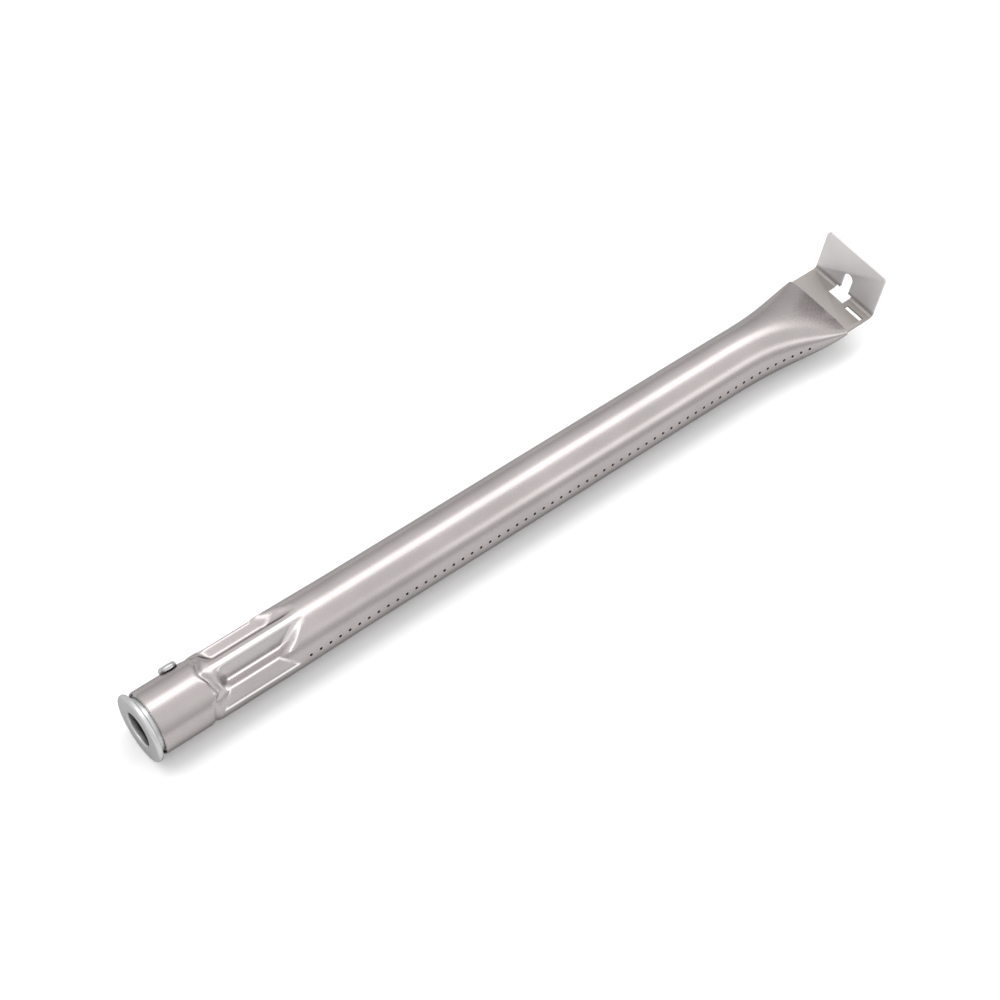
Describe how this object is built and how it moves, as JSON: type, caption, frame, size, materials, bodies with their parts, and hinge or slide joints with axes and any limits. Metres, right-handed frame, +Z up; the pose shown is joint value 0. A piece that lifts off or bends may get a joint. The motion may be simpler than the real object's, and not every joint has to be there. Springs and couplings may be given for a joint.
{
  "type": "gas grill tube burner",
  "caption": "Straight stainless steel tube burner with a flanged inlet cap, a pressed venturi, side gas ports and a bent, slotted rear bracket in its flattened end.",
  "frame": {"origin": "centre of the orifice hole at the front face of the inlet cap", "axes": "+X along the tube towards the rear bracket, +Z up, the way the bracket's tab is bent"},
  "size_m": [0.3623, 0.0362, 0.0365],
  "materials": {
    "tube_steel": "satin stainless steel, faint lengthwise grain",
    "cap_steel": "satin stainless steel sheet",
    "screw_steel": "plain steel",
    "bracket_steel": "satin stainless steel sheet"
  },
  "bodies": {
    "root": {"burner_tube": "tube_steel", "inlet_cap": "cap_steel", "cap_screw": "screw_steel", "rear_bracket": "bracket_steel"}
  },
  "joints": []
}
